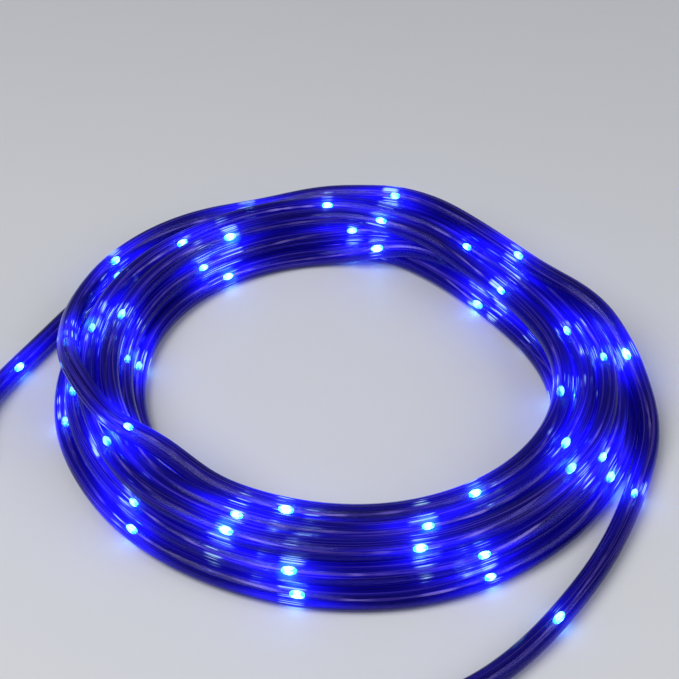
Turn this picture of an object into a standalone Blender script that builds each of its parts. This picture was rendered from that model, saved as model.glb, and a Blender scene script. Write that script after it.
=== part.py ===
"""LED rope light: clear tube with a string of LED drops inside, wound by hand into a loose coil.

Metres, +Z up. The coil lies flat on z = 0. Two tails of the tube come off its outer side, one to
the end cap and one to the feed plug. The origin is the middle of the whole part's footprint.
"""
import math

import bmesh
import bpy
from mathutils import Matrix, Vector

# Clear tube
tube_diameter = 0.006
tube_wall = 0.0007
tube_sides_resolution = 3
tube_step = 0.010

# Light string inside the tube: a pair of thin wires with a moulded drop over each LED
wire_pair_diameter = 0.0009
drop_diameter = 0.0018
drop_length = 0.0034
drop_pitch = 0.050
drop_profile_points = 7
string_end_clearance = 0.0004

# Coil: turns in each row from the floor up, and how many turns outwards each row starts,
# so that the rows nest in each other's grooves
turns_in_rows = (4, 3, 3, 1)
row_starts = (0, 0.5, 0, 1.5)
inner_turn_radius = 0.0629
turn_play = 0.00012
coil_steps = 48
turn_arc_step = math.radians(34)
groove_trim = math.radians(30)
rest_band_width = 0.0016

# Sealed cap on the far end of the tube
cap_wall = 0.0010
cap_grip_length = 0.010
cap_end_thickness = 0.003
cap_end_chamfer = 0.0012

# Moulded two-pin plug on the feed end of the tube
plug_collar_wall = 0.0009
plug_collar_length = 0.009
plug_shoulder_length = 0.004
plug_body_diameter = 0.0100
plug_grip_depth = 0.012
plug_body_length = 0.015
plug_edge_chamfer = 0.0006
pin_diameter = 0.0016
pin_spacing = 0.0042
pin_free_length = 0.008
pin_seat_depth = 0.004

# Fit between pieces that touch
touch_gap = 0.0003
round_steps = 24

tube_radius = tube_diameter / 2
bore_radius = tube_radius - tube_wall
turn_pitch = tube_diameter + turn_play
coil_radius = inner_turn_radius + turn_pitch * (turns_in_rows[0] - 1) + tube_radius
cap_radius = tube_radius + touch_gap + cap_wall
plug_radius = plug_body_diameter / 2

# Routes of the two tails over the floor, from where each leaves the coil's outer side.
# Each point is an angle in degrees round the coil, from its right side towards its back, and
# how far the tube's side stands off the coil's side there.
cap_tail_route = (
    (106, 0.0005),
    (122, 0.0010),
    (138, 0.0016),
    (154, 0.0027),
    (166, 0.0053),
    (173, 0.0093),
    (178.5, 0.0132),
    (184, 0.0167),
    (190.5, 0.0202),
    (197, 0.0237),
)
feed_tail_route = (
    (-6, 0.0004),
    (-14, 0.0005),
    (-22, 0.0008),
    (-30, 0.0021),
    (-40, 0.0056),
    (-50, 0.0103),
    (-58, 0.0147),
    (-66, 0.0209),
    (-74, 0.0269),
    (-82, 0.0321),
    (-90, 0.0361),
    (-98, 0.0387),
)


def clear_scene():
    for thing in list(bpy.data.objects):
        bpy.data.objects.remove(thing)


def make_material(name, colour, roughness, metallic=0.0):
    material = bpy.data.materials.new(name)
    material.use_nodes = True
    shader = material.node_tree.nodes["Principled BSDF"]
    shader.inputs["Base Color"].default_value = (*colour, 1.0)
    shader.inputs["Roughness"].default_value = roughness
    shader.inputs["Metallic"].default_value = metallic
    return material


def add_object(name, data, material, parent):
    thing = bpy.data.objects.new(name, data)
    bpy.context.scene.collection.objects.link(thing)
    data.materials.append(material)
    thing.parent = parent
    return thing


def smooth_line(points):
    """Dense points of a smooth curve through the chosen points."""
    ends = [2 * points[0] - points[1], *points, 2 * points[-1] - points[-2]]
    line = []
    for before, start, end, after in zip(ends, ends[1:], ends[2:], ends[3:]):
        for step in range(20):
            t = step / 20
            line.append(0.5 * (2 * start + (end - before) * t
                               + (2 * before - 5 * start + 4 * end - after) * t ** 2
                               + (3 * start - before - 3 * end + after) * t ** 3))
    line.append(points[-1])
    return line


class Route:
    """A smooth line that can be asked for the point at any distance along it."""

    def __init__(self, points):
        self.line = smooth_line(points)
        self.distances = [0.0]
        for start, end in zip(self.line, self.line[1:]):
            self.distances.append(self.distances[-1] + (end - start).length)
        self.length = self.distances[-1]

    def at(self, distance):
        for index, reached in enumerate(self.distances[1:]):
            if reached >= distance or index == len(self.line) - 2:
                span = reached - self.distances[index]
                share = (distance - self.distances[index]) / span
                return self.line[index].lerp(self.line[index + 1], share)

    def end_direction(self):
        """Level direction in which the line leaves its end."""
        return ((self.line[-1] - self.line[-2]) * Vector((1, 1, 0))).normalized()


def tail_route(places, end_height):
    """Tube lying on the floor, eased up to the height of the fitting at its end."""
    heights = [tube_radius] * (len(places) - 3)
    heights += [(tube_radius + end_height) / 2, end_height, end_height]
    points = []
    for (degrees, stand_off), height in zip(places, heights):
        angle = math.radians(degrees)
        radius = coil_radius + stand_off + tube_radius
        points.append(Vector((radius * math.cos(angle), radius * math.sin(angle), height)))
    return Route(points)


def curve_tube(name, points, radii, bevel_depth, resolution, capped, material, parent):
    curve = bpy.data.curves.new(name, "CURVE")
    curve.dimensions = "3D"
    curve.bevel_depth = bevel_depth
    curve.bevel_resolution = resolution
    curve.use_fill_caps = capped
    curve.twist_mode = "Z_UP"
    spline = curve.splines.new("POLY")
    spline.points.add(len(points) - 1)
    spline.use_smooth = True
    for spline_point, place, radius in zip(spline.points, points, radii):
        spline_point.co = (*place, 1.0)
        spline_point.radius = radius
    return add_object(name, curve, material, parent)


def add_tail_tube(name, route, material, parent):
    """Hollow clear tube along a tail, open at both ends."""
    count = math.ceil(route.length / tube_step)
    points = [route.at(route.length * index / count) for index in range(count + 1)]
    tube = curve_tube(name, points, [1.0] * len(points), tube_radius,
                      tube_sides_resolution, False, material, parent)
    wall = tube.modifiers.new("wall", "SOLIDIFY")
    wall.thickness = tube_wall
    wall.offset = -1.0
    wall.use_even_offset = True
    return tube


def string_stations(length):
    """Distances along the string, each with the string's radius there."""
    first_drop = drop_pitch / 2
    drops = math.floor((length - first_drop - drop_length) / drop_pitch) + 1
    wire = wire_pair_diameter / 2
    stations = []
    reached = 0.0
    for drop in range(drops + 1):
        is_drop = drop < drops
        middle = first_drop + drop * drop_pitch
        wire_end = middle - drop_length / 2 if is_drop else length
        steps = math.ceil((wire_end - reached) / tube_step)
        stations += [(reached + (wire_end - reached) * step / steps, wire)
                     for step in range(steps)]
        if not is_drop:
            stations.append((length, wire))
            return stations
        for index in range(drop_profile_points - 1):
            along = -math.cos(math.pi * index / (drop_profile_points - 1))
            radius = drop_diameter / 2 * math.sqrt(1 - along ** 2)
            stations.append((middle + along * drop_length / 2, max(radius, wire)))
        reached = middle + drop_length / 2


def add_light_string(name, route, material, parent):
    """Wire pair and LED drops as one piece, lying on the floor of the tube's bore."""
    drop_radius = drop_diameter / 2
    sag = bore_radius - drop_radius - touch_gap - string_end_clearance
    stations = string_stations(route.length)
    points = [route.at(distance) - Vector((0, 0, sag)) for distance, _ in stations]
    radii = [radius / drop_radius for _, radius in stations]
    return curve_tube(name, points, radii, drop_radius, 2, True, material, parent)


def turned_piece(name, profile, steps, material, parent):
    """Solid of revolution about Z from points (radius, height) that run down the outer side."""
    mesh = bpy.data.meshes.new(name)
    points = [(radius, 0.0, height) for radius, height in profile]
    edges = [(index, (index + 1) % len(points)) for index in range(len(points))]
    on_axis = min(radius for radius, _ in profile) == 0
    mesh.from_pydata(points, edges[:-1] if on_axis else edges, [])
    piece = add_object(name, mesh, material, parent)
    turn = piece.modifiers.new("turn", "SCREW")
    turn.steps = steps
    turn.render_steps = steps
    turn.use_merge_vertices = True
    turn.merge_threshold = 0.00001
    turn.use_smooth_shade = True
    return piece


def coil_turn_centres():
    """Centres (radius, height) of the turns in each row, as the coil's section shows them."""
    first_height = math.sqrt(tube_radius ** 2 - (rest_band_width / 2) ** 2)
    row_rise = turn_pitch * math.sin(math.radians(60))
    return [[(inner_turn_radius + turn_pitch * (start + turn), first_height + row * row_rise)
             for turn in range(turns)]
            for row, (turns, start) in enumerate(zip(turns_in_rows, row_starts))]


def outer_turns():
    """The turns that show on the section's outline, from the inner bottom one round."""
    rows = coil_turn_centres()
    outer_side = []
    inner_side = []
    for row, above in zip(rows[1:-1], rows[2:]):
        beyond = [turn for turn in row if turn[0] > above[-1][0]] or row[-1:]
        within = [turn for turn in row if turn[0] < above[0][0]] or row[:1]
        outer_side += beyond[::-1]
        inner_side = within[::-1] + inner_side
    return rows[0] + outer_side + rows[-1][::-1] + inner_side


def coil_profile():
    """Outline of the bundle: an arc over each outer turn, with a groove between neighbours."""
    ring = outer_turns()
    outline = []
    for index, (radius, height) in enumerate(ring):
        before = ring[index - 1]
        after = ring[(index + 1) % len(ring)]
        start = math.atan2(before[1] - height, before[0] - radius) + groove_trim
        end = math.atan2(after[1] - height, after[0] - radius) - groove_trim
        while end <= start:
            end += 2 * math.pi
        arcs = [(start, end)]
        if height == ring[0][1]:
            rest_half_angle = math.asin(rest_band_width / 2 / tube_radius)
            down = 1.5 * math.pi
            while down < start:
                down += 2 * math.pi
            arcs = [(start, down - rest_half_angle), (down + rest_half_angle, end)]
        for arc_start, arc_end in arcs:
            steps = max(1, round((arc_end - arc_start) / turn_arc_step))
            for step in range(steps + 1):
                angle = arc_start + (arc_end - arc_start) * step / steps
                outline.append((radius + tube_radius * math.cos(angle),
                                height + tube_radius * math.sin(angle)))
    return outline[::-1]


def place_at_end(piece, route, back):
    """Turns a piece's +Z into the direction of the route's end and sets it back along it."""
    direction = route.end_direction()
    side = Vector((0, 0, 1)).cross(direction).normalized()
    up = direction.cross(side)
    turn = Matrix((side, up, direction)).transposed().to_4x4()
    piece.matrix_local = Matrix.Translation(route.line[-1] - direction * back) @ turn


def add_end_cap(route, material, parent):
    bore = tube_radius + touch_gap
    total = cap_grip_length + touch_gap + cap_end_thickness
    profile = (
        (0.0, total),
        (cap_radius - cap_end_chamfer, total),
        (cap_radius, total - cap_end_chamfer),
        (cap_radius, 0.0),
        (bore, 0.0),
        (bore, cap_grip_length + touch_gap),
        (0.0, cap_grip_length + touch_gap),
    )
    cap = turned_piece("end_cap", profile, round_steps, material, parent)
    place_at_end(cap, route, cap_grip_length)
    return cap


def add_pin_seat_cutter(side, face_height, parent):
    cutter_mesh = bpy.data.meshes.new("pin_seat")
    bm = bmesh.new()
    bmesh.ops.create_cone(bm, cap_ends=True, segments=round_steps // 2,
                          radius1=pin_diameter / 2 + touch_gap,
                          radius2=pin_diameter / 2 + touch_gap,
                          depth=2 * (pin_seat_depth + touch_gap))
    bm.to_mesh(cutter_mesh)
    bm.free()
    cutter = bpy.data.objects.new("pin_seat", cutter_mesh)
    bpy.context.scene.collection.objects.link(cutter)
    cutter.parent = parent
    cutter.location = (side * pin_spacing / 2, 0, face_height)
    cutter.hide_render = True
    cutter.display_type = "WIRE"
    return cutter


def add_feed_plug(route, material, pin_material, parent):
    """Moulded plug: a collar over the tube, a shoulder and a round body with two pins."""
    bore = tube_radius + touch_gap
    collar_radius = bore + plug_collar_wall
    shoulder = plug_collar_length + plug_shoulder_length
    total = shoulder + plug_body_length
    profile = (
        (0.0, total),
        (plug_radius - plug_edge_chamfer, total),
        (plug_radius, total - plug_edge_chamfer),
        (plug_radius, shoulder),
        (collar_radius, plug_collar_length),
        (collar_radius, 0.0),
        (bore, 0.0),
        (bore, plug_grip_depth + touch_gap),
        (0.0, plug_grip_depth + touch_gap),
    )
    plug = turned_piece("feed_plug", profile, round_steps, material, parent)
    place_at_end(plug, route, plug_grip_depth)
    for side, name in ((-1, "plug_pin_left"), (1, "plug_pin_right")):
        cut = plug.modifiers.new(name, "BOOLEAN")
        cut.object = add_pin_seat_cutter(side, total, plug)
        pin_length = pin_seat_depth + pin_free_length
        pin_radius = pin_diameter / 2
        pin_profile = (
            (0.0, pin_length),
            (pin_radius * 0.5, pin_length),
            (pin_radius, pin_length - pin_radius * 0.5),
            (pin_radius, 0.0),
            (0.0, 0.0),
        )
        pin = turned_piece(name, pin_profile, round_steps // 2, pin_material, plug)
        pin.location = (side * pin_spacing / 2, 0, total - pin_seat_depth)
    return plug


def centre_on_footprint(parent):
    """Moves everything so that the origin is the middle of the footprint, on the floor."""
    bpy.context.view_layer.update()
    depsgraph = bpy.context.evaluated_depsgraph_get()
    corners = []
    for thing in bpy.context.scene.objects:
        if thing.type == "EMPTY" or thing.hide_render:
            continue
        shape = thing.evaluated_get(depsgraph)
        mesh = shape.to_mesh()
        corners += [shape.matrix_world @ vertex.co for vertex in mesh.vertices]
        shape.to_mesh_clear()
    for axis in (0, 1):
        low = min(corner[axis] for corner in corners)
        high = max(corner[axis] for corner in corners)
        parent.location[axis] = -(low + high) / 2


def main():
    clear_scene()
    clear_tube = make_material("clear_tube", (0.16, 0.12, 0.85), 0.12)
    lit_string = make_material("lit_string", (0.45, 0.85, 1.0), 0.25)
    cap_plastic = make_material("cap_plastic", (0.75, 0.77, 0.82), 0.30)
    plug_plastic = make_material("plug_plastic", (0.80, 0.80, 0.82), 0.45)
    pin_metal = make_material("pin_metal", (0.83, 0.69, 0.42), 0.28, 1.0)

    rope_light = bpy.data.objects.new("rope_light", None)
    bpy.context.scene.collection.objects.link(rope_light)

    turned_piece("coil", coil_profile(), coil_steps, clear_tube, rope_light)
    cap_tail = tail_route(cap_tail_route, cap_radius)
    add_tail_tube("cap_tail_tube", cap_tail, clear_tube, rope_light)
    add_light_string("cap_tail_lights", cap_tail, lit_string, rope_light)
    add_end_cap(cap_tail, cap_plastic, rope_light)
    feed_tail = tail_route(feed_tail_route, plug_radius)
    add_tail_tube("feed_tail_tube", feed_tail, clear_tube, rope_light)
    add_light_string("feed_tail_lights", feed_tail, lit_string, rope_light)
    add_feed_plug(feed_tail, plug_plastic, pin_metal, rope_light)
    centre_on_footprint(rope_light)


main()
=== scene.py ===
"""LED rope light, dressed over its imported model.

A hand-wound coil of clear tube with a string of lit LED drops inside, its sealed end cap and its
feed plug. Metres, +Z up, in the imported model's own frame: the coil lies flat on z = 0.
"""
import functools
import math

import bpy
import numpy as np
from bpy.props import FloatProperty, FloatVectorProperty, IntProperty, PointerProperty
from bpy.types import Operator, Panel, PropertyGroup
from mathutils import Matrix, Vector


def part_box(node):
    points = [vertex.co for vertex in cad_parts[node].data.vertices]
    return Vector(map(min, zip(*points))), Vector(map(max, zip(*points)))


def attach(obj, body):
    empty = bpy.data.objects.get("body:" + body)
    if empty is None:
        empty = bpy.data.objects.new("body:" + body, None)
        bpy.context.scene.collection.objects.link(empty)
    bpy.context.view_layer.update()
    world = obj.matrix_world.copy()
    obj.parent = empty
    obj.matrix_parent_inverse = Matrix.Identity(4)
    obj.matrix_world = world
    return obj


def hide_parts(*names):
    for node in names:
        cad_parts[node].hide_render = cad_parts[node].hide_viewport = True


bl_info = {
    "name": "LED Rope Light",
    "version": (1, 0, 0),
    "blender": (4, 5, 0),
    "location": "View3D > Sidebar > Rope Light",
    "description": "Makes a hand-wound coil of clear LED tube light with its cap and plug",
    "category": "Add Mesh",
}

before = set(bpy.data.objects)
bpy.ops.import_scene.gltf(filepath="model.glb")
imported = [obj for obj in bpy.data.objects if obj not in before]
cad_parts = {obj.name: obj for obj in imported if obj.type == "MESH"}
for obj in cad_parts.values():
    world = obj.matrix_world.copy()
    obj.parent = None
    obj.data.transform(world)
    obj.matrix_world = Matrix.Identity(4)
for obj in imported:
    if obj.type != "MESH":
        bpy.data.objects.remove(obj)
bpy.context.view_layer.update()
coil_low, coil_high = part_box("coil")
coil_centre = np.array([(coil_low[0] + coil_high[0]) / 2, (coil_low[1] + coil_high[1]) / 2, 0.0])

# Tails, as in the part's own source: an angle in degrees round the coil, from its right side
# towards its back, and how far the tube's side stands off the coil's side there.
cap_tail_route = (
    (106, 0.0005), (122, 0.0010), (138, 0.0016), (154, 0.0027),
    (166, 0.0053), (173, 0.0093), (178.5, 0.0132), (184, 0.0167),
    (190.5, 0.0202), (197, 0.0237),
)
feed_tail_route = (
    (-6, 0.0004), (-14, 0.0005), (-22, 0.0008), (-30, 0.0021),
    (-40, 0.0056), (-50, 0.0103), (-58, 0.0147), (-66, 0.0209),
    (-74, 0.0269), (-82, 0.0321), (-90, 0.0361), (-98, 0.0387),
)
# The feed tail's first two points only start the solid at the coil's side.
feed_tail_skipped = 2

# The turns in the order they are wound: the row from the floor up, and how many turns the place
# lies outside the innermost one.
winding_order = (
    (0, 3), (0, 2), (0, 1), (0, 0), (1, 0.5),
    (1, 1.5), (1, 2.5), (2, 2), (2, 1), (2, 0),
)
# The last turn climbs over the bundle on the left, stands off its outer side at the back left
# and rides over the top again before it leaves: degrees round the coil, how far outside the
# innermost turn, and the height of the tube's centre.
crossing_route = (
    (214, 0.0054, 0.0184), (206, 0.0070, 0.0188), (197, 0.0092, 0.0188),
    (188, 0.0118, 0.0186), (179, 0.0150, 0.0176), (170, 0.0183, 0.0148),
    (160, 0.0225, 0.0114), (149, 0.0255, 0.0092), (136, 0.0271, 0.0084),
    (122, 0.0265, 0.0086), (108, 0.0239, 0.0100), (95, 0.0199, 0.0130),
    (82, 0.0147, 0.0164), (68, 0.0096, 0.0184), (54, 0.0060, 0.0188),
    (42, 0.0040, 0.0188), (31, 0.0036, 0.0187), (21, 0.0056, 0.0182),
    (12, 0.0092, 0.0162), (3, 0.0132, 0.0122), (-6, 0.0170, 0.0076),
    (-14, 0.0207, 0.0046),
)
# Degrees round the coil where its bundle is drawn in, let out or raised.
front_right, right_side, back_right, front_left = -46, -10, 34, 222

# The turns settle in rounds: firm ones first, then free ones. For each kind: how many diameters
# apart neighbours are pushed, how strongly a point returns to its place, and the stiffness.
settling_step = 0.004
settling_rounds = 500
firm_rounds = 350
firm_settling = (1.012, 0.02, 0.4)
free_settling = (1.04, 0.001, 0.12)

# Camera's place from the coil's middle, then how far it turns right, dips and tilts, in degrees.
camera_place = (-0.0001565, -0.363625, 0.312236)
camera_turn = (-0.14938, 38.80996, -1.43745)

# The cap and the plug are this much slimmer where their grip ribs stand.
rib_seat = 0.0005
rib_thickness = 0.0008


def length_property(name, description, default):
    return FloatProperty(name=name, description=description, default=default, min=0.0,
                         precision=5, subtype="DISTANCE", unit="LENGTH")


def colour_property(name, description, default):
    return FloatVectorProperty(name=name, description=description, default=default, size=3,
                               min=0.0, max=1.0, subtype="COLOR")


class RopeTubeSettings(PropertyGroup):
    """Sizes of the clear tube and of the coil it is wound into."""

    diameter: length_property("Tube diameter", "Outside diameter of the clear tube", 0.006)
    wall: length_property("Tube wall", "Thickness of the tube's wall", 0.0007)
    inner_turn_radius: length_property(
        "Inner turn radius", "Radius of the innermost turn, at its tube's centre", 0.0629)
    turn_play: length_property(
        "Turn play", "Room between two neighbouring turns of a row", 0.00012)
    ring_step: length_property(
        "Ring step", "Distance between two rings of the tube's mesh", 0.0022)
    sides: IntProperty(name="Sides", description="Sides of the tube's mesh", default=18, min=8)
    body: colour_property("Tube colour", "Colour of the unlit tube", (0.004, 0.002, 0.060))
    # Painted light: the tube's colour and glow near a drop stand in for the drops' light in it.
    lit: colour_property("Lit colour", "Colour of the tube near a drop", (0.004, 0.002, 0.25))
    glow: colour_property("Glow", "Light of the tube near a lit drop", (0.006, 0.002, 1.0))
    # Colour of the pale sheen lines painted along the tube.
    sheen_streak: colour_property("Streak colour", "Colour of the drawn lines", (0.16, 0.10, 0.52))


class LightStringSettings(PropertyGroup):
    """Sizes of the wire pair and the LED drops inside the tube."""

    wire_diameter: length_property("Wire diameter", "Diameter of one wire", 0.00034)
    wire_twist: length_property("Wire twist", "Length of one twist of the wire pair", 0.022)
    drop_diameter: length_property("Drop diameter", "Thickness of a moulded drop", 0.0018)
    drop_length: length_property("Drop length", "Length of a moulded drop", 0.0034)
    drop_pitch: length_property("Drop spacing", "Distance between two drops", 0.050)
    first_drop: length_property("First drop", "Distance of the first drop from the cap end", 0.046)
    light: colour_property("Light colour", "Colour of a lit drop's middle", (0.20, 0.66, 1.0))
    fringe: colour_property("Fringe colour", "Colour of a lit drop's ends", (0.01, 0.24, 1.0))


class FittingSettings(PropertyGroup):
    """Sizes of the end cap, the feed plug and its pins."""

    gap: length_property("Fit", "Clearance between the tube and a fitting", 0.0003)
    cap_wall: length_property("Cap wall", "Thickness of the end cap's wall", 0.0010)
    cap_grip: length_property("Cap grip", "Length of tube inside the end cap", 0.010)
    cap_end: length_property("Cap end", "Thickness of the end cap's closed end", 0.003)
    collar_wall: length_property("Collar wall", "Thickness of the plug's collar", 0.0009)
    collar_length: length_property("Collar length", "Length of the plug's collar", 0.009)
    shoulder_length: length_property("Shoulder length", "Length of the plug's shoulder", 0.004)
    plug_diameter: length_property("Plug diameter", "Diameter of the plug's body", 0.010)
    plug_grip: length_property("Plug grip", "Length of tube inside the plug", 0.012)
    plug_length: length_property("Plug length", "Length of the plug's body", 0.015)
    pin_diameter: length_property("Pin diameter", "Diameter of a contact pin", 0.0016)
    pin_spacing: length_property("Pin spacing", "Distance between the two pins", 0.0042)
    pin_free: length_property("Pin length", "Length of a pin outside the plug", 0.008)
    pin_seat: length_property("Pin seat", "Length of a pin inside the plug", 0.004)
    cap_colour: colour_property("Cap colour", "Colour of the end cap", (0.60, 0.64, 0.76))
    plug_colour: colour_property("Plug colour", "Colour of the feed plug", (0.60, 0.61, 0.64))
    pin_colour: colour_property("Pin colour", "Colour of the pins", (0.83, 0.66, 0.34))


class StageSettings(PropertyGroup):
    """Colour of the floor."""

    floor_colour: colour_property("Floor colour", "Colour of the floor", (0.74, 0.75, 0.78))


class RopeLightSettings(PropertyGroup):
    """All that a user would change."""

    tube: PointerProperty(type=RopeTubeSettings)
    string: PointerProperty(type=LightStringSettings)
    fittings: PointerProperty(type=FittingSettings)
    stage: PointerProperty(type=StageSettings)


def settings():
    return bpy.context.scene.rope_light


# Node trees


class Signal:
    """A node's output that takes part in Python arithmetic by adding Math nodes."""

    def __init__(self, graph, socket):
        self.graph = graph
        self.socket = socket

    def out(self, name):
        return Signal(self.graph, self.socket.node.outputs[name])

    def math(self, operation, *others):
        return self.graph.math(operation, self, *others)

    def __add__(self, other):
        return self.math("ADD", other)

    def __radd__(self, other):
        return self.graph.math("ADD", other, self)

    def __sub__(self, other):
        return self.math("SUBTRACT", other)

    def __rsub__(self, other):
        return self.graph.math("SUBTRACT", other, self)

    def __mul__(self, other):
        return self.math("MULTIPLY", other)

    def __rmul__(self, other):
        return self.graph.math("MULTIPLY", other, self)

    def __truediv__(self, other):
        return self.math("DIVIDE", other)

    def __rtruediv__(self, other):
        return self.graph.math("DIVIDE", other, self)

    def __pow__(self, other):
        return self.math("POWER", other)

    def __abs__(self):
        return self.math("ABSOLUTE")


class Graph:
    """Adds nodes to a shader or geometry tree."""

    def __init__(self, tree):
        self.tree = tree

    def node(self, kind, options=None, sockets=None):
        """One node: its options are set first, then its sockets' values or links."""
        node = self.tree.nodes.new(kind)
        for name, value in (options or {}).items():
            setattr(node, name, value)
        for name, value in (sockets or {}).items():
            self.feed(node.inputs[name], value)
        return Signal(self, node.outputs[0]) if node.outputs else node

    def feed(self, socket, value):
        """Gives a socket its value, or the link that brings it."""
        if isinstance(value, Signal):
            self.tree.links.new(value.socket, socket)
        else:
            socket.default_value = value

    def math(self, operation, *values):
        return self.node("ShaderNodeMath", {"operation": operation}, dict(enumerate(values)))

    def clamp(self, value):
        return self.node("ShaderNodeClamp", None, {"Value": value})

    def smooth(self, value, low, high):
        """0 below low, 1 above high, eased between."""
        return self.node("ShaderNodeMapRange", {"interpolation_type": "SMOOTHSTEP"},
                         {"Value": value, "From Min": low, "From Max": high})

    def vector(self, x, y, z):
        return self.node("ShaderNodeCombineXYZ", None, {"X": x, "Y": y, "Z": z})

    def noise(self, vector, scale, detail):
        return self.node("ShaderNodeTexNoise", None, {
            "Vector": vector, "Scale": scale, "Detail": detail})

    def vector_math(self, operation, sockets):
        return self.node("ShaderNodeVectorMath", {"operation": operation}, sockets)

    def mix(self, share, first, second):
        """Colour mix: first where share is 0, second where it is 1."""
        mixed = self.node("ShaderNodeMix", {"data_type": "RGBA"}, {0: share})
        node = mixed.socket.node
        for socket, colour in ((node.inputs[6], first), (node.inputs[7], second)):
            self.feed(socket, colour if isinstance(colour, Signal) else (*colour, 1.0))
        return Signal(self, node.outputs[2])


def new_material(name):
    """A material and the graph and shader node it is made with."""
    material = bpy.data.materials.new(name)
    material.use_nodes = True
    graph = Graph(material.node_tree)
    return material, graph, material.node_tree.nodes["Principled BSDF"]


def wire_shader(graph, shader, values):
    for name, value in values.items():
        graph.feed(shader.inputs[name], value)


def show(name, data):
    """An object made of this data, shown in the scene."""
    thing = bpy.data.objects.new(name, data)
    bpy.context.scene.collection.objects.link(thing)
    return thing


# Rope's path


def smooth_line(points, steps):
    """Dense points of a smooth curve through the chosen points, as the part's source has it."""
    ends = np.vstack([2 * points[0] - points[1], points, 2 * points[-1] - points[-2]])
    t = (np.arange(steps) / steps)[:, None]
    line = []
    for before, start, end, after in zip(ends, ends[1:], ends[2:], ends[3:]):
        line.append(0.5 * (2 * start + (end - before) * t
                           + (2 * before - 5 * start + 4 * end - after) * t ** 2
                           + (3 * start - before - 3 * end + after) * t ** 3))
    return np.vstack([*line, points[-1:]])


def stations(path):
    """Distance along a path at each of its points."""
    return np.concatenate([[0.0], np.cumsum(np.linalg.norm(np.diff(path, axis=0), axis=1))])


def read_off(at, reached, values):
    """What the values at a path's points come to at other distances along it."""
    return np.stack([np.interp(at, reached, values[:, axis]) for axis in range(3)], axis=1)


def resample(line, step):
    """Points about a step apart along a line."""
    reached = stations(line)
    return read_off(np.linspace(0.0, reached[-1], round(reached[-1] / step) + 1), reached, line)


def ease(t):
    t = np.clip(t, 0.0, 1.0)
    return t * t * (3 - 2 * t)


def bump(degrees, middle, width):
    """1 at an angle round the coil, falling to about a third a width away."""
    away = (degrees - middle + 180) % 360 - 180
    return np.exp(-(away / width) ** 2)


def polar(degrees, radius, height):
    angle = np.radians(degrees)
    return np.stack(np.broadcast_arrays(radius * np.cos(angle), radius * np.sin(angle), height),
                    axis=-1)


def tail_points(route, end_height):
    """Points of a tail from the coil outwards, as the part's source places them."""
    tube = settings().tube
    pitch = tube.diameter + tube.turn_play
    coil_radius = tube.inner_turn_radius + 3 * pitch + tube.diameter / 2
    heights = [tube.diameter / 2] * (len(route) - 3)
    heights += [(tube.diameter / 2 + end_height) / 2, end_height, end_height]
    degrees, stand_off = np.array(route).T
    return polar(degrees, coil_radius + stand_off + tube.diameter / 2, np.array(heights))


def cap_radius():
    fit = settings().fittings
    return settings().tube.diameter / 2 + fit.gap + fit.cap_wall


def wound_line():
    """The whole rope as it is wound, from the end cap to the plug, before it settles."""
    tube = settings().tube
    radius = tube.diameter / 2
    pitch = tube.diameter + tube.turn_play
    rise = pitch * math.sin(math.radians(60))
    places = np.array([(tube.inner_turn_radius + pitch * out, radius + rise * row)
                       for row, out in winding_order])

    # Degrees travelled clockwise from the left; each turn shifts to its next place at the back.
    start, end, apart = 88.0, 3556.0, 12.0
    travelled = np.arange(start, end, apart)
    shift_start, shift_end = 72.0, 136.0
    turn = np.floor((travelled - shift_start) / 360).astype(int)
    share = ease((travelled - shift_start) % 360 / (shift_end - shift_start))[:, None]
    place = places[np.maximum(turn - 1, 0)] * (1 - share) + places[turn] * share
    degrees = 180 - travelled
    out, height = place.T

    # The bundle is a little oval, drawn in at the front and back right, and its first turn comes
    # in from outside. The oval's last number brings the feed tail's drops to their places.
    pinch = 1 - 0.16 * bump(degrees, front_right, 30) - 0.10 * bump(degrees, back_right, 22)
    middle = tube.inner_turn_radius + 1.5 * pitch
    out = middle + (out - middle) * pinch
    out += 0.0002 * bump(degrees, front_right, 30) + 0.0008 * bump(degrees, right_side, 24)
    out -= 0.0040 * bump(degrees, back_right, 26)
    out += 0.0011 * (height - radius) / rise * bump(degrees, front_left, 24)
    out += 0.0026 * np.cos(2 * np.radians(degrees - 118)) - 0.00044
    out += np.where(travelled < 150, 0.0058 * (1 - ease((travelled - 66) / 62)), 0.0)
    height = radius + (height - radius) * (0.4 + 0.6 / pinch)

    crossing = np.array(crossing_route)
    fit = settings().fittings
    return smooth_line(np.vstack([
        tail_points(cap_tail_route, cap_radius())[::-1],
        polar(degrees, out, height),
        polar(crossing[:, 0], tube.inner_turn_radius + crossing[:, 1], crossing[:, 2]),
        tail_points(feed_tail_route, fit.plug_diameter / 2)[feed_tail_skipped:],
    ]), 12)


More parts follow.
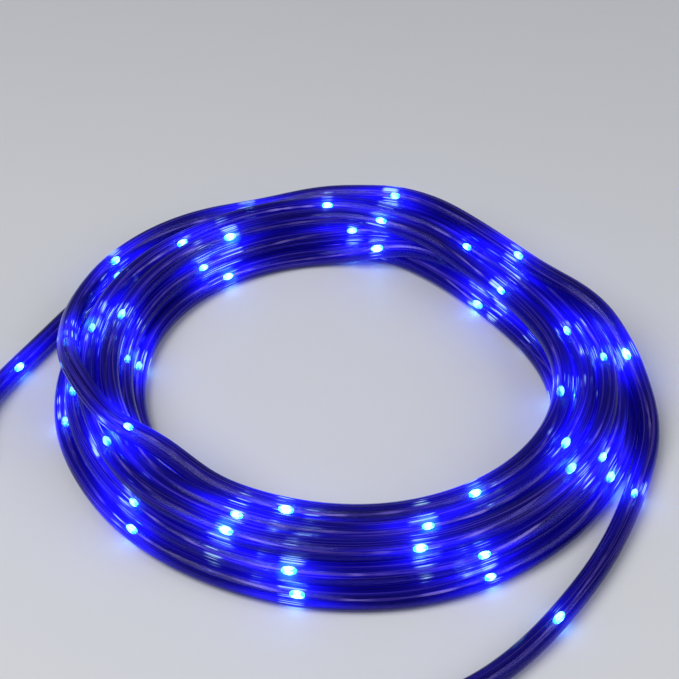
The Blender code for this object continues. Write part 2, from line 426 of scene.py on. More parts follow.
def settle(line, diameter):
    """Pushes turns that share a place apart, lets them sink and keeps the tube's stiffness."""
    points = resample(line, settling_step)
    target = points.copy()
    count = len(points)
    step = np.linalg.norm(np.diff(points, axis=0), axis=1).mean()
    skip = math.ceil(2.5 * diameter / step)
    from_end = np.minimum(np.arange(count), np.arange(count)[::-1]) * step
    held = np.clip(1.5 - from_end / 0.03, 0.0, 1.0)[:, None]
    for turn in range(settling_rounds):
        aim, keep, stiffness = free_settling if turn > firm_rounds else firm_settling
        if turn % 10 == 0:
            apart = points[:, None, :] - points[None, :, :]
            near = np.einsum("ijk,ijk->ij", apart, apart) < (1.6 * diameter) ** 2
            first, second = np.nonzero(np.triu(near, skip))
        gap = points[first] - points[second]
        distance = np.linalg.norm(gap, axis=1)
        short = aim * diameter - distance
        close = short > 0
        push = gap[close] / distance[close][:, None] * (short[close] / 2)[:, None]
        move = np.zeros_like(points)
        touching = np.zeros(count)
        for pushed, away in ((first[close], push), (second[close], -push)):
            np.add.at(move, pushed, away)
            np.add.at(touching, pushed, 1)
        points = points + move / np.maximum(touching * 0.6, 1)[:, None]
        points[:, :2] += (target[:, :2] - points[:, :2]) * keep
        points[:, 2] += (target[:, 2] - points[:, 2]) * keep * 0.6 - keep / 1000
        bend = np.zeros_like(points)
        bend[1:-1] = (points[:-2] + points[2:]) / 2 - points[1:-1]
        change = np.zeros_like(points)
        change[2:-2] = (bend[1:-3] + bend[3:-1]) / 2 - bend[2:-2]
        points = points - stiffness * change
        points[:, 2] = np.maximum(points[:, 2], diameter / 2)
        points += (target - points) * held
    return points


@functools.lru_cache(maxsize=None)
def rope_path():
    """Centreline of the settled tube, from the end cap to the feed plug."""
    tube = settings().tube
    path = resample(smooth_line(settle(wound_line(), tube.diameter), 6), tube.ring_step)
    path[:, 2] = np.maximum(path[:, 2], tube.diameter / 2)
    return path + coil_centre


def unit(vectors):
    return vectors / np.linalg.norm(vectors, axis=-1, keepdims=True)


def carried_frames(path):
    """Direction, side and up at each point, turned as little as the path allows."""
    along = unit(np.gradient(path, axis=0))
    side = np.zeros_like(along)
    side[0] = unit(np.cross(along[0], (0.0, 0.0, 1.0)))
    for index in range(1, len(path)):
        carried = side[index - 1] - along[index] * side[index - 1].dot(along[index])
        side[index] = carried / np.linalg.norm(carried)
    return along, side, np.cross(along, side)


@functools.lru_cache(maxsize=None)
def string_path():
    """Centreline of the wire pair, which lies loose in the tube's bore."""
    tube = settings().tube
    string = settings().string
    path = rope_path()
    reached = stations(path)
    along, side, up = carried_frames(path)
    room = tube.diameter / 2 - tube.wall - string.drop_diameter / 2 - 0.0004
    random = np.random.default_rng(7)
    offsets = []
    for _ in range(2):
        waves = zip(random.uniform(0.045, 0.16, 4), random.uniform(0, 2 * math.pi, 4))
        offsets.append(sum(np.sin(2 * math.pi * reached / length + phase)
                           for length, phase in waves) / 2)
    size = np.hypot(*offsets)
    reach = room * np.tanh(size) / np.maximum(size, 1e-6)
    ends = np.clip(np.minimum(reached, reached[-1] - reached) / 0.03, 0.0, 1.0)
    across, rise = offsets[0] * reach * ends, offsets[1] * reach * ends
    return path + side * across[:, None] + up * rise[:, None]


@functools.lru_cache(maxsize=None)
def drop_places():
    """Centre and direction of each LED drop."""
    string = settings().string
    path = string_path()
    reached = stations(rope_path())
    at = np.arange(string.first_drop, reached[-1] - 0.012, string.drop_pitch)
    along = unit(np.gradient(path, axis=0))
    return read_off(at, reached, path), unit(read_off(at, reached, along))


# Meshes


def new_mesh(name, vertices, faces, uvs, material):
    """A shown mesh object with a UV map of metres along it, smooth but for its sharp edges."""
    mesh = bpy.data.meshes.new(name)
    mesh.from_pydata(vertices.tolist(), [], faces)
    layer = mesh.uv_layers.new(name="along")
    layer.data.foreach_set("uv", uvs.reshape(-1).astype(np.float32))
    mesh.materials.append(material)
    mesh.polygons.foreach_set("use_smooth", np.ones(len(mesh.polygons), dtype=bool))
    mesh.set_sharp_from_angle(angle=math.radians(38))
    return show(name, mesh)


def grid_faces(rows, columns, offset=0, inside_out=False):
    """Quads of a grid of rings, closed round each ring, and their places in the grid."""
    row, column = np.meshgrid(np.arange(rows - 1), np.arange(columns), indexing="ij")
    row, column = row.ravel(), column.ravel()
    after = (column + 1) % columns
    quads = np.stack([row * columns + column, row * columns + after,
                      (row + 1) * columns + after, (row + 1) * columns + column], axis=1)
    corners = np.stack([np.stack([column, column + 1, column + 1, column], axis=1),
                        np.stack([row, row, row + 1, row + 1], axis=1)], axis=-1)
    if inside_out:
        quads, corners = quads[:, ::-1], corners[:, ::-1]
    return quads + offset, corners


def tube_mesh(name, path, outer, inner, sides, material):
    """Hollow tube along a path, closed at both ends by the thickness of its wall."""
    along, side, up = carried_frames(path)
    angle = 2 * math.pi * np.arange(sides) / sides
    ring = side[:, None, :] * np.cos(angle)[:, None] + up[:, None, :] * np.sin(angle)[:, None]
    rings = len(path)
    vertices = np.concatenate([(path[:, None, :] + ring * radius).reshape(-1, 3)
                               for radius in (outer, inner)])
    outside, outside_corners = grid_faces(rings, sides)
    bore, bore_corners = grid_faces(rings, sides, rings * sides, True)
    reached = stations(path)
    uvs = [np.stack([corners[..., 0] / sides, reached[corners[..., 1]]], axis=-1)
           for corners in (outside_corners, bore_corners)]
    turn = np.arange(sides)
    after = (turn + 1) % sides
    inside = rings * sides
    last = (rings - 1) * sides
    ends = [np.stack([turn, turn + inside, after + inside, after], axis=1),
            np.stack([turn + last, after + last, after + last + inside, turn + last + inside],
                     axis=1)]
    end_uvs = np.zeros((2 * sides, 4, 2))
    end_uvs[sides:, :, 1] = reached[-1]
    end_uvs[:, :, 0] = (np.tile(turn, 2)[:, None] + 0.5) / sides
    return new_mesh(name, vertices, np.concatenate([outside, bore, *ends]).tolist(),
                    np.concatenate([*uvs, end_uvs]), material)


def turned_mesh(name, profile, steps, material):
    """Solid of revolution about Z.

    The profile's points (radius, height) run from one end on the axis to the other with the
    air on their right.
    """
    outline = np.array(profile)
    rings = outline[1:-1]
    angle = 2 * math.pi * np.arange(steps) / steps
    vertices = np.stack([rings[:, :1] * np.cos(angle), rings[:, :1] * np.sin(angle),
                         np.repeat(rings[:, 1:], steps, axis=1)], axis=-1).reshape(-1, 3)
    quads, corners = grid_faces(len(rings), steps)
    count = len(vertices)
    vertices = np.vstack([vertices, [(0.0, 0.0, outline[0, 1]), (0.0, 0.0, outline[-1, 1])]])
    turn = np.arange(steps)
    after = (turn + 1) % steps
    last = count - steps
    first_fan = np.stack([np.full(steps, count), after, turn], axis=1)
    last_fan = np.stack([turn + last, after + last, np.full(steps, count + 1)], axis=1)
    faces = [*quads.tolist(), *first_fan.tolist(), *last_fan.tolist()]
    travelled = stations(outline)
    uvs = [np.stack([corners[..., 0] / steps, travelled[1:-1][corners[..., 1]]], axis=-1)]
    for end, inner_ring in ((0, 1), (-1, -2)):
        fan = np.zeros((steps, 3, 2))
        fan[:, :, 0] = (turn / steps)[:, None]
        fan[:, :, 1] = travelled[inner_ring]
        fan[:, 0 if end == 0 else 2, 1] = travelled[end]
        uvs.append(fan)
    corner_uvs = np.concatenate([part.reshape(-1, 2) for part in uvs])
    return new_mesh(name, vertices, faces, corner_uvs, material)


def rounded(profile, edges):
    """Profile with each named corner, counted from 0, rounded off by its radius."""
    outline = []
    for index, point in enumerate(profile):
        radius = edges.get(index)
        if radius is None:
            outline.append(point)
            continue
        corner = np.array(point)
        before = unit(np.array(profile[index - 1]) - corner)
        after = unit(np.array(profile[index + 1]) - corner)
        half = math.acos(np.clip(before.dot(after), -1, 1)) / 2
        reach = radius / math.tan(half)
        centre = corner + unit(before + after) * radius / math.sin(half)
        start, end = corner + before * reach - centre, corner + after * reach - centre
        for share in np.linspace(0, 1, 6):
            outline.append(tuple(centre + radius * unit(start * (1 - share) + end * share)))
    return outline


def end_place(path, back):
    """Places +Z along the level direction in which a path leaves its end, set back along it."""
    direction = Vector(unit((path[-1] - path[-2]) * (1, 1, 0)))
    side = Vector((0, 0, 1)).cross(direction)
    turn = Matrix((side, direction.cross(side), direction)).transposed().to_4x4()
    return Matrix.Translation(Vector(path[-1]) - direction * back) @ turn


# Geometry trees


def new_tree(name, inputs):
    """A geometry tree with a geometry in, a geometry out and the named inputs."""
    tree = bpy.data.node_groups.new(name, "GeometryNodeTree")
    tree.interface.new_socket("Geometry", in_out="INPUT", socket_type="NodeSocketGeometry")
    tree.interface.new_socket("Geometry", in_out="OUTPUT", socket_type="NodeSocketGeometry")
    for label, kind in inputs:
        tree.interface.new_socket(label, in_out="INPUT", socket_type=f"NodeSocket{kind}")
    graph = Graph(tree)
    return tree, graph, graph.node("NodeGroupInput")


def finish_tree(graph, geometry, material):
    """Ends a tree in Realize Instances and Set Material."""
    real = graph.node("GeometryNodeRealizeInstances", None, {"Geometry": geometry})
    dressed = graph.node("GeometryNodeSetMaterial", None,
                         {"Geometry": real, "Material": material})
    graph.node("NodeGroupOutput", None, {"Geometry": dressed})


def joined(graph, parts):
    join = graph.node("GeometryNodeJoinGeometry")
    for part in parts:
        graph.feed(join.socket.node.inputs[0], part)
    return join


def grown(name, base, tree, values):
    """The plain mesh object that a tree makes of a base object; the base goes."""
    modifier = base.modifiers.new(name, "NODES")
    modifier.node_group = tree
    for item in tree.interface.items_tree:
        if item.in_out == "INPUT" and item.name in values:
            modifier[item.identifier] = values[item.name]
    depsgraph = bpy.context.evaluated_depsgraph_get()
    mesh = bpy.data.meshes.new_from_object(base.evaluated_get(depsgraph), depsgraph=depsgraph)
    bpy.data.objects.remove(base)
    return show(name, mesh)


def wire_tree(material):
    """Two wires twisted round a curve."""
    tree, graph, given = new_tree("Wire pair", (
        ("Wire diameter", "Float"), ("Twist length", "Float"), ("Spread", "Float")))
    reached = graph.node("GeometryNodeSplineParameter").out("Length")
    normal = graph.node("GeometryNodeInputNormal")
    tangent = graph.node("GeometryNodeInputTangent")
    across = graph.vector_math("CROSS_PRODUCT", {0: tangent, 1: normal})
    stray = graph.node("ShaderNodeTexNoise", {"noise_dimensions": "1D"},
                       {"W": reached, "Scale": 24.0, "Detail": 1.0})
    ring = graph.node("GeometryNodeCurvePrimitiveCircle", None, {
        "Resolution": 6, "Radius": given.out("Wire diameter") / 2})
    wires = []
    for start in (0.0, math.pi):
        angle = reached / given.out("Twist length") * (2 * math.pi) + stray * 9.0 + start
        first = graph.vector_math("SCALE", {0: normal, "Scale": graph.math("COSINE", angle)})
        second = graph.vector_math("SCALE", {0: across, "Scale": graph.math("SINE", angle)})
        both = graph.vector_math("ADD", {0: first, 1: second})
        offset = graph.vector_math("SCALE", {0: both, "Scale": given.out("Spread")})
        moved = graph.node("GeometryNodeSetPosition", None,
                           {"Geometry": given.out("Geometry"), "Offset": offset})
        marked = graph.node("GeometryNodeStoreNamedAttribute",
                            {"data_type": "FLOAT", "domain": "POINT"},
                            {"Geometry": moved, "Name": "along", "Value": reached})
        wires.append(graph.node("GeometryNodeCurveToMesh", None, {
            "Curve": marked, "Profile Curve": ring, "Fill Caps": True}))
    finish_tree(graph, joined(graph, wires), material)
    return tree


def drop_tree(material):
    """A moulded drop on each point, turned to lie along the string."""
    tree, graph, given = new_tree("LED drops", (
        ("Drop diameter", "Float"), ("Drop length", "Float")))
    ball = graph.node("GeometryNodeMeshUVSphere", None,
                      {"Segments": 8, "Rings": 6, "Radius": 0.5})
    place = graph.node("GeometryNodeInputPosition")
    apart = graph.node("ShaderNodeSeparateXYZ", None, {0: place})
    heart = graph.clamp(1 - abs(apart.out("Z")) * 2.0)
    marked = graph.node("GeometryNodeStoreNamedAttribute",
                        {"data_type": "FLOAT", "domain": "POINT"},
                        {"Geometry": ball, "Name": "core", "Value": heart})
    size = graph.vector(given.out("Drop diameter"), given.out("Drop diameter"),
                        given.out("Drop length"))
    shaped = graph.node("GeometryNodeTransform", None, {"Geometry": marked, "Scale": size})
    smooth = graph.node("GeometryNodeSetShadeSmooth", None, {"Geometry": shaped})
    along = graph.node("GeometryNodeInputNamedAttribute", {"data_type": "FLOAT_VECTOR"},
                       {"Name": "direction"})
    turned = graph.node("FunctionNodeAlignRotationToVector", {"axis": "Z"}, {"Vector": along})
    # Inputs 2 and 3 are the least and the most that a drop is enlarged, and output 1 is the draw.
    swelling = graph.node("FunctionNodeRandomValue", {"data_type": "FLOAT"},
                          {2: 1.0, 3: 1.28, "Seed": 11})
    swelled = Signal(graph, swelling.socket.node.outputs[1])
    points = graph.node("GeometryNodeMeshToPoints", None, {"Mesh": given.out("Geometry")})
    drops = graph.node("GeometryNodeInstanceOnPoints", None, {
        "Points": points, "Instance": smooth, "Rotation": turned,
        "Scale": graph.vector(swelled, swelled, swelled)})
    finish_tree(graph, drops, material)
    return tree


def rib_tree(material):
    """A ring of raised ribs round the base piece's own axis, joined to the base."""
    tree, graph, given = new_tree("Grip ribs", (
        ("Count", "Int"), ("Radius", "Float"), ("Start", "Float"), ("Length", "Float"),
        ("Thickness", "Float")))
    start = graph.vector(0.0, 0.0, given.out("Start"))
    end = graph.vector(0.0, 0.0, given.out("Start") + given.out("Length"))
    line = graph.node("GeometryNodeCurvePrimitiveLine", None, {"Start": start, "End": end})
    spine = graph.node("GeometryNodeResampleCurve", None, {"Curve": line, "Count": 9})
    share = graph.node("GeometryNodeSplineParameter")
    taper = graph.clamp(12.0 * share * (1 - share)) ** 0.5
    section = graph.node("GeometryNodeCurvePrimitiveCircle", None, {
        "Resolution": 8, "Radius": given.out("Thickness") / 2})
    bar = graph.node("GeometryNodeCurveToMesh", None, {
        "Curve": spine, "Profile Curve": section, "Scale": taper * 0.92 + 0.08,
        "Fill Caps": True})
    ring = graph.node("GeometryNodeMeshCircle", None, {
        "Vertices": given.out("Count"), "Radius": given.out("Radius")})
    smooth = graph.node("GeometryNodeSetShadeSmooth", None, {"Geometry": bar})
    ribs = graph.node("GeometryNodeInstanceOnPoints", None, {"Points": ring, "Instance": smooth})
    finish_tree(graph, joined(graph, [given.out("Geometry"), ribs]), material)
    return tree


# Materials


def attribute(graph, name):
    return graph.node("ShaderNodeAttribute", {"attribute_name": name}).out("Fac")


def own_place(graph):
    return graph.node("ShaderNodeTexCoord").out("Object")


def from_drop(graph, along):
    """Distance along the tube to the nearest drop."""
    string = settings().string
    beat = (along - string.first_drop) / string.drop_pitch + 0.5
    return abs(graph.math("FRACT", beat) - 0.5) * string.drop_pitch


def streaks(graph, u, along, fineness, stretch, detail):
    """Noise drawn out along the tube and seamless round it."""
    angle = u * (2 * math.pi)
    place = graph.vector(graph.math("COSINE", angle), graph.math("SINE", angle), along * stretch)
    return graph.noise(place, fineness, detail)


def tube_material():
    """Clear extruded tube: drawn lines bumped along it and painted in as pale sheen lines, with a
    painted blue glow, painted glints and painted halos where the drops light it.
    """
    tube = settings().tube
    material, graph, shader = new_material("Clear lit tube")
    coordinate = graph.node("ShaderNodeTexCoord").out("UV")
    apart = graph.node("ShaderNodeSeparateXYZ", None, {0: coordinate})
    u, along = apart.out("X"), apart.out("Y")
    lit, glint, halo = (attribute(graph, name) for name in ("lit", "glint", "halo"))

    broad = streaks(graph, u, along, 1.1, 12.0, 2.0)
    band = graph.smooth(streaks(graph, u, along, 0.9, 3.0, 1.0), 0.47, 0.63)
    lines = streaks(graph, u, along, 3.6, 4.0, 3.0)
    fine = streaks(graph, u, along, 9.0, 1.6, 1.0)
    # The drawn lines: a real bump, and a mask that paints pale sheen lines into the tube's colour
    # and glow.
    drawn_lines_and_sheen = graph.smooth(lines, 0.56, 0.72) * 0.45 + graph.smooth(fine, 0.60, 0.68) * 0.55
    short = graph.smooth(streaks(graph, u, along, 6.5, 5.0, 1.0), 0.56, 0.64)
    reach = 1 - graph.smooth(from_drop(graph, along), 0.003, 0.025)

    uneven = (0.10 + broad * 1.3) * (0.45 + fine * 1.1)
    near = graph.clamp(lit * uneven) ** 1.6
    sparkle = glint * short
    spread = near * 0.90 + reach * band * (0.14 + fine * 0.8)
    # Painted faint glow all over the tube, stronger along the lines.
    faint = 0.02 + graph.smooth(lines, 0.38, 0.62) * 0.11
    level = graph.clamp(graph.clamp(spread) ** 1.4 + sparkle + halo + faint)
    # Painted light in the colour: bluer near the drops, paler along the painted sheen lines.
    colour = graph.mix(drawn_lines_and_sheen * 0.6, graph.mix(near, tube.body, tube.lit), tube.sheen_streak)
    glow = graph.mix(graph.clamp(drawn_lines_and_sheen * 0.25), tube.glow, tube.sheen_streak)
    # Painted glow: blue where the drops light the tube, a painted turquoise halo round each drop
    # and painted whitish glints beside it.
    shine = graph.mix(level, (0.0, 0.0, 0.0), glow)
    fringed = graph.mix(graph.smooth(halo * (0.5 + fine), 0.2, 0.9), shine, (0.03, 0.36, 1.0))
    bright = graph.mix(graph.smooth(sparkle, 0.22, 0.65), fringed, (0.48, 0.82, 1.0))
    edge = graph.node("ShaderNodeLayerWeight", None, {"Blend": 0.35}).out("Facing")
    bumped = graph.node("ShaderNodeBump", None, {
        "Height": lines * 0.5 + fine * 0.5, "Strength": 0.25, "Distance": 0.0003})
    wire_shader(graph, shader, {
        "Base Color": colour,
        "Roughness": 0.08 + fine * 0.12,
        "Alpha": graph.clamp(0.62 + edge * 0.6 + drawn_lines_and_sheen * 0.2),
        "IOR": 1.5,
        "Specular IOR Level": 0.14,
        "Emission Color": bright,
        "Emission Strength": 1.0,
        "Normal": bumped,
    })
    return material


def wire_material():
    """Enamelled wire with painted light: a faint painted glow all along it, and painted glimmers
    of the drops' light in its colour and glow near them.
    """
    material, graph, shader = new_material("Lit wire")
    along = attribute(graph, "along")
    glimmer_blotches = graph.node("ShaderNodeTexNoise", {"noise_dimensions": "1D"},
                          {"W": along, "Scale": 60.0, "Detail": 2.0})
    # Painted glimmers: paler colour and brighter glow in patches, most near the drops; the same
    # noise varies the roughness.
    reached = 1 - graph.smooth(from_drop(graph, along), 0.002, 0.026) * 0.8
    glimmer = graph.smooth(glimmer_blotches, 0.42, 0.68) * reached
    colour = graph.mix(glimmer, (0.20, 0.16, 0.55), (0.75, 0.68, 1.0))
    wire_shader(graph, shader, {
        "Base Color": colour,
        "Roughness": 0.2 + glimmer_blotches * 0.25,
        "Metallic": 0.8,
        "Emission Color": graph.mix(glimmer, (0.05, 0.03, 0.14), (0.42, 0.33, 0.90)),
        "Emission Strength": 3.2,
    })
    return material


def drop_material():
    """Clear moulded drop over a lit LED: a hot middle in a mottled, deeper fringe."""
    string = settings().string
    material, graph, shader = new_material("Lit LED drop")
    core = attribute(graph, "core")
    mottle = graph.noise(own_place(graph), 1100.0, 1.0)
    heart = graph.smooth(core + mottle * 1.6 - 0.8, 0.10, 0.80)
    colour = graph.mix(heart, string.fringe, string.light)
    wire_shader(graph, shader, {
        "Base Color": colour,
        "Roughness": 0.15 + mottle * 0.2,
        "Emission Color": colour,
        "Emission Strength": 52.0,
    })
    return material


def moulded_material(name, colour, shade, roughness, scatter):
    """Moulded plastic: faint mottle, fine grain and a little wear in its gloss."""
    material, graph, shader = new_material(name)
    place = own_place(graph)
    cloud = graph.noise(place, 140.0, 3.0)
    grain = graph.noise(place, 2600.0, 2.0)
    wire_shader(graph, shader, {
        "Base Color": graph.mix(graph.smooth(cloud, 0.3, 0.7), colour, shade),
        "Roughness": roughness + cloud * 0.12,
        "Subsurface Weight": scatter,
        "Subsurface Scale": 0.002,
        "Normal": graph.node("ShaderNodeBump", None, {
            "Height": grain, "Strength": 0.15, "Distance": 0.0002}),
    })
    return material


def pin_material():
    """Turned brass, dulled in patches and faintly scratched."""
    colour = settings().fittings.pin_colour
    material, graph, shader = new_material("Contact brass")
    place = own_place(graph)
    tarnish = graph.noise(place, 320.0, 3.0)
    scratch = graph.noise(place, 1800.0, 2.0)
    dull = tuple(part * 0.72 for part in colour)
    wire_shader(graph, shader, {
        "Base Color": graph.mix(graph.smooth(tarnish, 0.45, 0.75), colour, dull),
        "Metallic": 1.0,
        "Roughness": 0.16 + scratch * 0.2,
    })
    return material


def floor_material():
    colour = settings().stage.floor_colour
    material, graph, shader = new_material("Plain floor")
    cloud = graph.noise(own_place(graph), 6.0, 2.0)
    darker = tuple(part * 0.97 for part in colour)
    wire_shader(graph, shader, {
        "Base Color": graph.mix(cloud, colour, darker),
        "Roughness": 0.4,
    })
    return material


# Pieces


def pool(ahead, aside, length, width):
    """Light round a drop that falls to about a third at a length ahead or a width aside."""
    return np.exp(-(ahead / length) ** 2 - (aside / width) ** 2)


def light_on(vertices):
    """At each vertex: the light that reaches it, the drops' glints and the halo of its own, all
    painted into the tube's colour and glow.
    """
    centres, directions = drop_places()
    lit, glint, halo = np.zeros((3, len(vertices)))
    liveliness = np.random.default_rng(3).uniform(0.4, 1.7, len(centres))
    # The turns lie closest together at the coil's sides and share the most light there.
    bearing = np.arctan2(*(centres - coil_centre)[:, 1::-1].T)
    shared = 0.98 + 0.20 * np.cos(2 * (bearing - math.radians(15)))
    for centre, direction, lively, share in zip(centres, directions, liveliness, shared):
        offset = vertices - centre
        ahead = offset @ direction
        aside = np.sqrt(np.maximum((offset ** 2).sum(axis=1) - ahead ** 2, 0.0))
        lit += share * 0.90 * pool(ahead, aside, 0.0105, 0.0052)
        lit += share * 0.18 * pool(ahead, aside, 0.0150, 0.0100)
        halo += lively * pool(ahead, aside, 0.0030, 0.0026)
        glint += lively * ease(aside / 0.004) * pool(ahead, aside, 0.0022, 0.0074)
    return lit, glint, halo


def add_rope_tube():
    tube = settings().tube
    path = rope_path()
    piece = tube_mesh("rope_tube", path, tube.diameter / 2, tube.diameter / 2 - tube.wall,
                      tube.sides, tube_material())
    places = np.empty(len(piece.data.vertices) * 3)
    piece.data.vertices.foreach_get("co", places)
    for name, values in zip(("lit", "glint", "halo"), light_on(places.reshape(-1, 3))):
        layer = piece.data.attributes.new(name, "FLOAT", "POINT")
        layer.data.foreach_set("value", values.astype(np.float32))
    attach(piece, "root")
    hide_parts("coil", "cap_tail_tube", "feed_tail_tube")
    return piece


def add_wires():
    string = settings().string
    inside = string_path()[1:-1]
    curve = bpy.data.curves.new("wires", "CURVE")
    curve.dimensions = "3D"
    spline = curve.splines.new("POLY")
    spline.points.add(len(inside) - 1)
    spline.points.foreach_set("co", np.hstack([inside, np.ones((len(inside), 1))]).ravel())
    piece = grown("wire_pair", show("wires", curve), wire_tree(wire_material()), {
        "Wire diameter": string.wire_diameter,
        "Twist length": string.wire_twist,
        "Spread": string.wire_diameter / 2 + 0.00002,
    })
    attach(piece, "root")
    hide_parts("cap_tail_lights", "feed_tail_lights")


def add_drops():
    string = settings().string
    centres, directions = drop_places()
    mesh = bpy.data.meshes.new("drops")
    mesh.from_pydata(centres.tolist(), [], [])
    direction = mesh.attributes.new("direction", "FLOAT_VECTOR", "POINT")
    direction.data.foreach_set("vector", directions.astype(np.float32).ravel())
    piece = grown("led_drops", show("drops", mesh), drop_tree(drop_material()), {
        "Drop diameter": string.drop_diameter,
        "Drop length": string.drop_length,
    })
    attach(piece, "root")


def ribbed_moulding(name, profile, place, material, count, radius, start, length):
    """A turned moulding in its place, with a ring of grip ribs round it."""
    piece = grown(name, turned_mesh("turned", profile, 48, material), rib_tree(material), {
        "Count": count,
        "Radius": radius - rib_seat,
        "Start": start,
        "Length": length,
        "Thickness": rib_thickness,
    })
    piece.data.transform(place)
    return piece


def add_end_cap():
    tube = settings().tube
    fit = settings().fittings
    bore = tube.diameter / 2 + fit.gap
    radius = cap_radius()
    total = fit.cap_grip + fit.gap + fit.cap_end
    profile = rounded((
        (0.0, total - fit.cap_end), (bore, total - fit.cap_end), (bore, 0.0),
        (radius - 0.0002, 0.0), (radius - 0.0002, 0.0016),
        (radius - rib_seat, 0.0020), (radius - rib_seat, total - 0.0030),
        (radius - 0.0001, total - 0.0026), (radius - 0.0001, total), (0.0, total),
    ), {3: 0.0003, 8: 0.0011})
    place = end_place(rope_path()[::-1], fit.cap_grip)
    material = moulded_material("Milky cap", fit.cap_colour, (0.50, 0.54, 0.70), 0.22, 0.3)
    piece = ribbed_moulding("end_cap_moulding", profile, place, material, 16, radius,
                            0.0022, total - 0.0054)
    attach(piece, "root")
    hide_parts("end_cap")


def add_feed_plug():
    tube = settings().tube
    fit = settings().fittings
    bore = tube.diameter / 2 + fit.gap
    collar = bore + fit.collar_wall
    radius = fit.plug_diameter / 2
    shoulder = fit.collar_length + fit.shoulder_length
    total = shoulder + fit.plug_length
    inside = fit.plug_grip + fit.gap
    profile = rounded((
        (0.0, inside), (bore, inside), (bore, 0.0), (collar, 0.0),
        (collar, fit.collar_length), (radius, shoulder), (radius, shoulder + 0.0030),
        (radius - rib_seat, shoulder + 0.0034), (radius - rib_seat, total - 0.0034),
        (radius, total - 0.0030), (radius, total), (0.0, total),
    ), {3: 0.0004, 4: 0.004, 5: 0.002, 10: 0.0007})
    place = end_place(rope_path(), fit.plug_grip)
    material = moulded_material("Satin plug", fit.plug_colour, (0.54, 0.55, 0.59), 0.38, 0.1)
    piece = ribbed_moulding("feed_plug_moulding", profile, place, material, 20, radius,
                            shoulder + 0.0032, fit.plug_length - 0.0064)
    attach(piece, "root")
    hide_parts("feed_plug")


def add_pins():
    fit = settings().fittings
    total = fit.collar_length + fit.shoulder_length + fit.plug_length
    length = fit.pin_seat + fit.pin_free
    radius = fit.pin_diameter / 2
    place = end_place(rope_path(), fit.plug_grip)
    material = pin_material()
    for side, node in ((-1, "plug_pin_left"), (1, "plug_pin_right")):
        shift = Matrix.Translation((side * fit.pin_spacing / 2, 0.0, total - fit.pin_seat))
        profile = rounded((
            (0.0, 0.0), (radius, 0.0), (radius, length - 0.0008),
            (radius * 0.55, length), (0.0, length),
        ), {2: 0.0008, 3: 0.0003})
        piece = turned_mesh(f"{node}_turned", profile, 24, material)
        piece.data.transform(place @ shift)
        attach(piece, "root")
        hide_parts(node)


def add_camera():
    """Camera at the photograph's angle."""
    eye = Vector(coil_centre + camera_place)
    yaw, down, roll = (math.radians(value) for value in camera_turn)
    look = Vector((math.sin(yaw) * math.cos(down), math.cos(yaw) * math.cos(down),
                   -math.sin(down)))
    right = Vector((math.cos(yaw), -math.sin(yaw), 0.0))
    up = right.cross(look)
    tilted = right * math.cos(roll) + up * math.sin(roll)
    camera = show("camera", bpy.data.cameras.new("camera"))
    camera.data.lens = 87.645
    camera.data.sensor_width = 36.0
    camera.matrix_world = Matrix.Translation(eye) @ Matrix(
        (tilted, tilted.cross(look), -look)).transposed().to_4x4()
    bpy.context.scene.camera = camera


def add_light(name, place, size, power):
    lamp = bpy.data.lights.new(name, "AREA")
    lamp.shape = "DISK"
    lamp.size = size
    lamp.energy = power
    light = show(name, lamp)
    light.location = place
    light.rotation_mode = "QUATERNION"
    light.rotation_quaternion = (-Vector(place)).to_track_quat("-Z", "Y")


def add_bloom(scene):
    """A small bloom round the lit drops."""
    scene.use_nodes = True
    graph = Graph(scene.node_tree)
    scene.node_tree.nodes.clear()
    picture = graph.node("CompositorNodeRLayers")
    bloomed = graph.node("CompositorNodeGlare", {"glare_type": "BLOOM", "quality": "HIGH"}, {
        "Image": picture, "Highlights Threshold": 1.2, "Strength": 0.6, "Size": 0.2,
        "Tint": (0.06, 0.11, 1.0, 1.0)})
    graph.node("CompositorNodeComposite", None, {"Image": bloomed})


def add_stage():
    """Floor, soft lights and an even world."""
    scene = bpy.context.scene
    scene.view_settings.view_transform = "Standard"
    add_bloom(scene)
    world = bpy.data.worlds.new("studio")
    world.use_nodes = True
    background = world.node_tree.nodes["Background"]
    background.inputs["Color"].default_value = (0.85, 0.88, 0.95, 1.0)
    background.inputs["Strength"].default_value = 0.18
    scene.world = world
    add_light("key", place=(-0.5, -0.35, 0.9), size=0.9, power=8.5)
    add_light("fill", place=(0.8, -0.3, 0.6), size=0.9, power=3.5)
    floor_mesh = bpy.data.meshes.new("floor")
    reach = 3.0
    floor_mesh.from_pydata([(-reach, -reach, 0.0), (reach, -reach, 0.0), (reach, reach, 0.0),
                            (-reach, reach, 0.0)], [], [(0, 1, 2, 3)])
    floor_mesh.materials.append(floor_material())
    floor = show("floor", floor_mesh)


# Operators and panel


class RopeLightStage(Operator):
    """Add the camera, the floor and the lights"""

    bl_idname = "rope_light.stage"
    bl_label = "Add Stage"

    def execute(self, context):
        add_camera()
        add_stage()
        return {"FINISHED"}


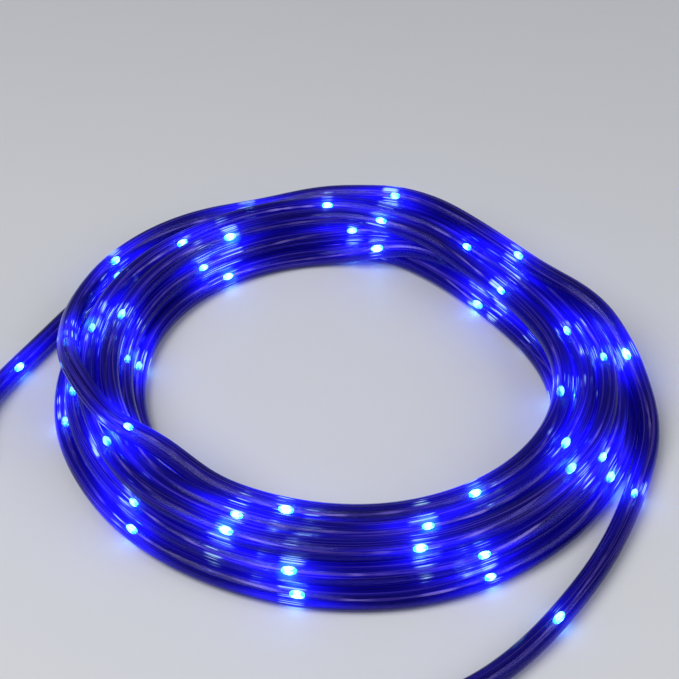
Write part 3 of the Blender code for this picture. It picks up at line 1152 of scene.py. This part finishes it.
class RopeLightString(Operator):
    """Add the wire pair and the LED drops that lie in the tube"""

    bl_idname = "rope_light.string"
    bl_label = "Add Light String"

    def execute(self, context):
        add_wires()
        add_drops()
        return {"FINISHED"}


class RopeLightCap(Operator):
    """Add the end cap"""

    bl_idname = "rope_light.cap"
    bl_label = "Add End Cap"

    def execute(self, context):
        add_end_cap()
        return {"FINISHED"}


class RopeLightTube(Operator):
    bl_idname = "rope_light.tube"
    bl_label = "Wind Tube"

    def execute(self, context):
        tube = add_rope_tube()
        path = rope_path()[::-1]
        return {"FINISHED"}


class RopeLightPlug(Operator):
    """Add the feed plug"""

    bl_idname = "rope_light.plug"
    bl_label = "Add Feed Plug"

    def execute(self, context):
        add_feed_plug()
        return {"FINISHED"}


class RopeLightPins(Operator):
    """Add the feed plug's two contact pins"""

    bl_idname = "rope_light.pins"
    bl_label = "Add Contact Pins"

    def execute(self, context):
        add_pins()
        return {"FINISHED"}


class RopeLightPanel(Panel):
    """Sizes and colours of the rope light"""

    bl_idname = "VIEW3D_PT_rope_light"
    bl_label = "Rope Light"
    bl_space_type = "VIEW_3D"
    bl_region_type = "UI"
    bl_category = "Rope Light"

    def draw(self, context):
        layout = self.layout
        for group in (settings().tube, settings().string, settings().fittings, settings().stage):
            box = layout.box()
            for name in group.__annotations__:
                box.prop(group, name)
        for step in steps:
            layout.operator(step.bl_idname)


steps = (RopeLightStage, RopeLightString, RopeLightCap, RopeLightTube, RopeLightPlug,
         RopeLightPins)
classes = (RopeTubeSettings, LightStringSettings, FittingSettings, StageSettings,
           RopeLightSettings, *steps, RopeLightPanel)


def register():
    for item in classes:
        bpy.utils.register_class(item)
    bpy.types.Scene.rope_light = PointerProperty(type=RopeLightSettings)


def unregister():
    del bpy.types.Scene.rope_light
    for item in reversed(classes):
        bpy.utils.unregister_class(item)


def main():
    register()
    bpy.ops.rope_light.stage()
    bpy.ops.rope_light.string()
    bpy.ops.rope_light.cap()
    bpy.ops.rope_light.tube()
    bpy.ops.rope_light.plug()
    bpy.ops.rope_light.pins()


if __name__ == "__main__":
    main()
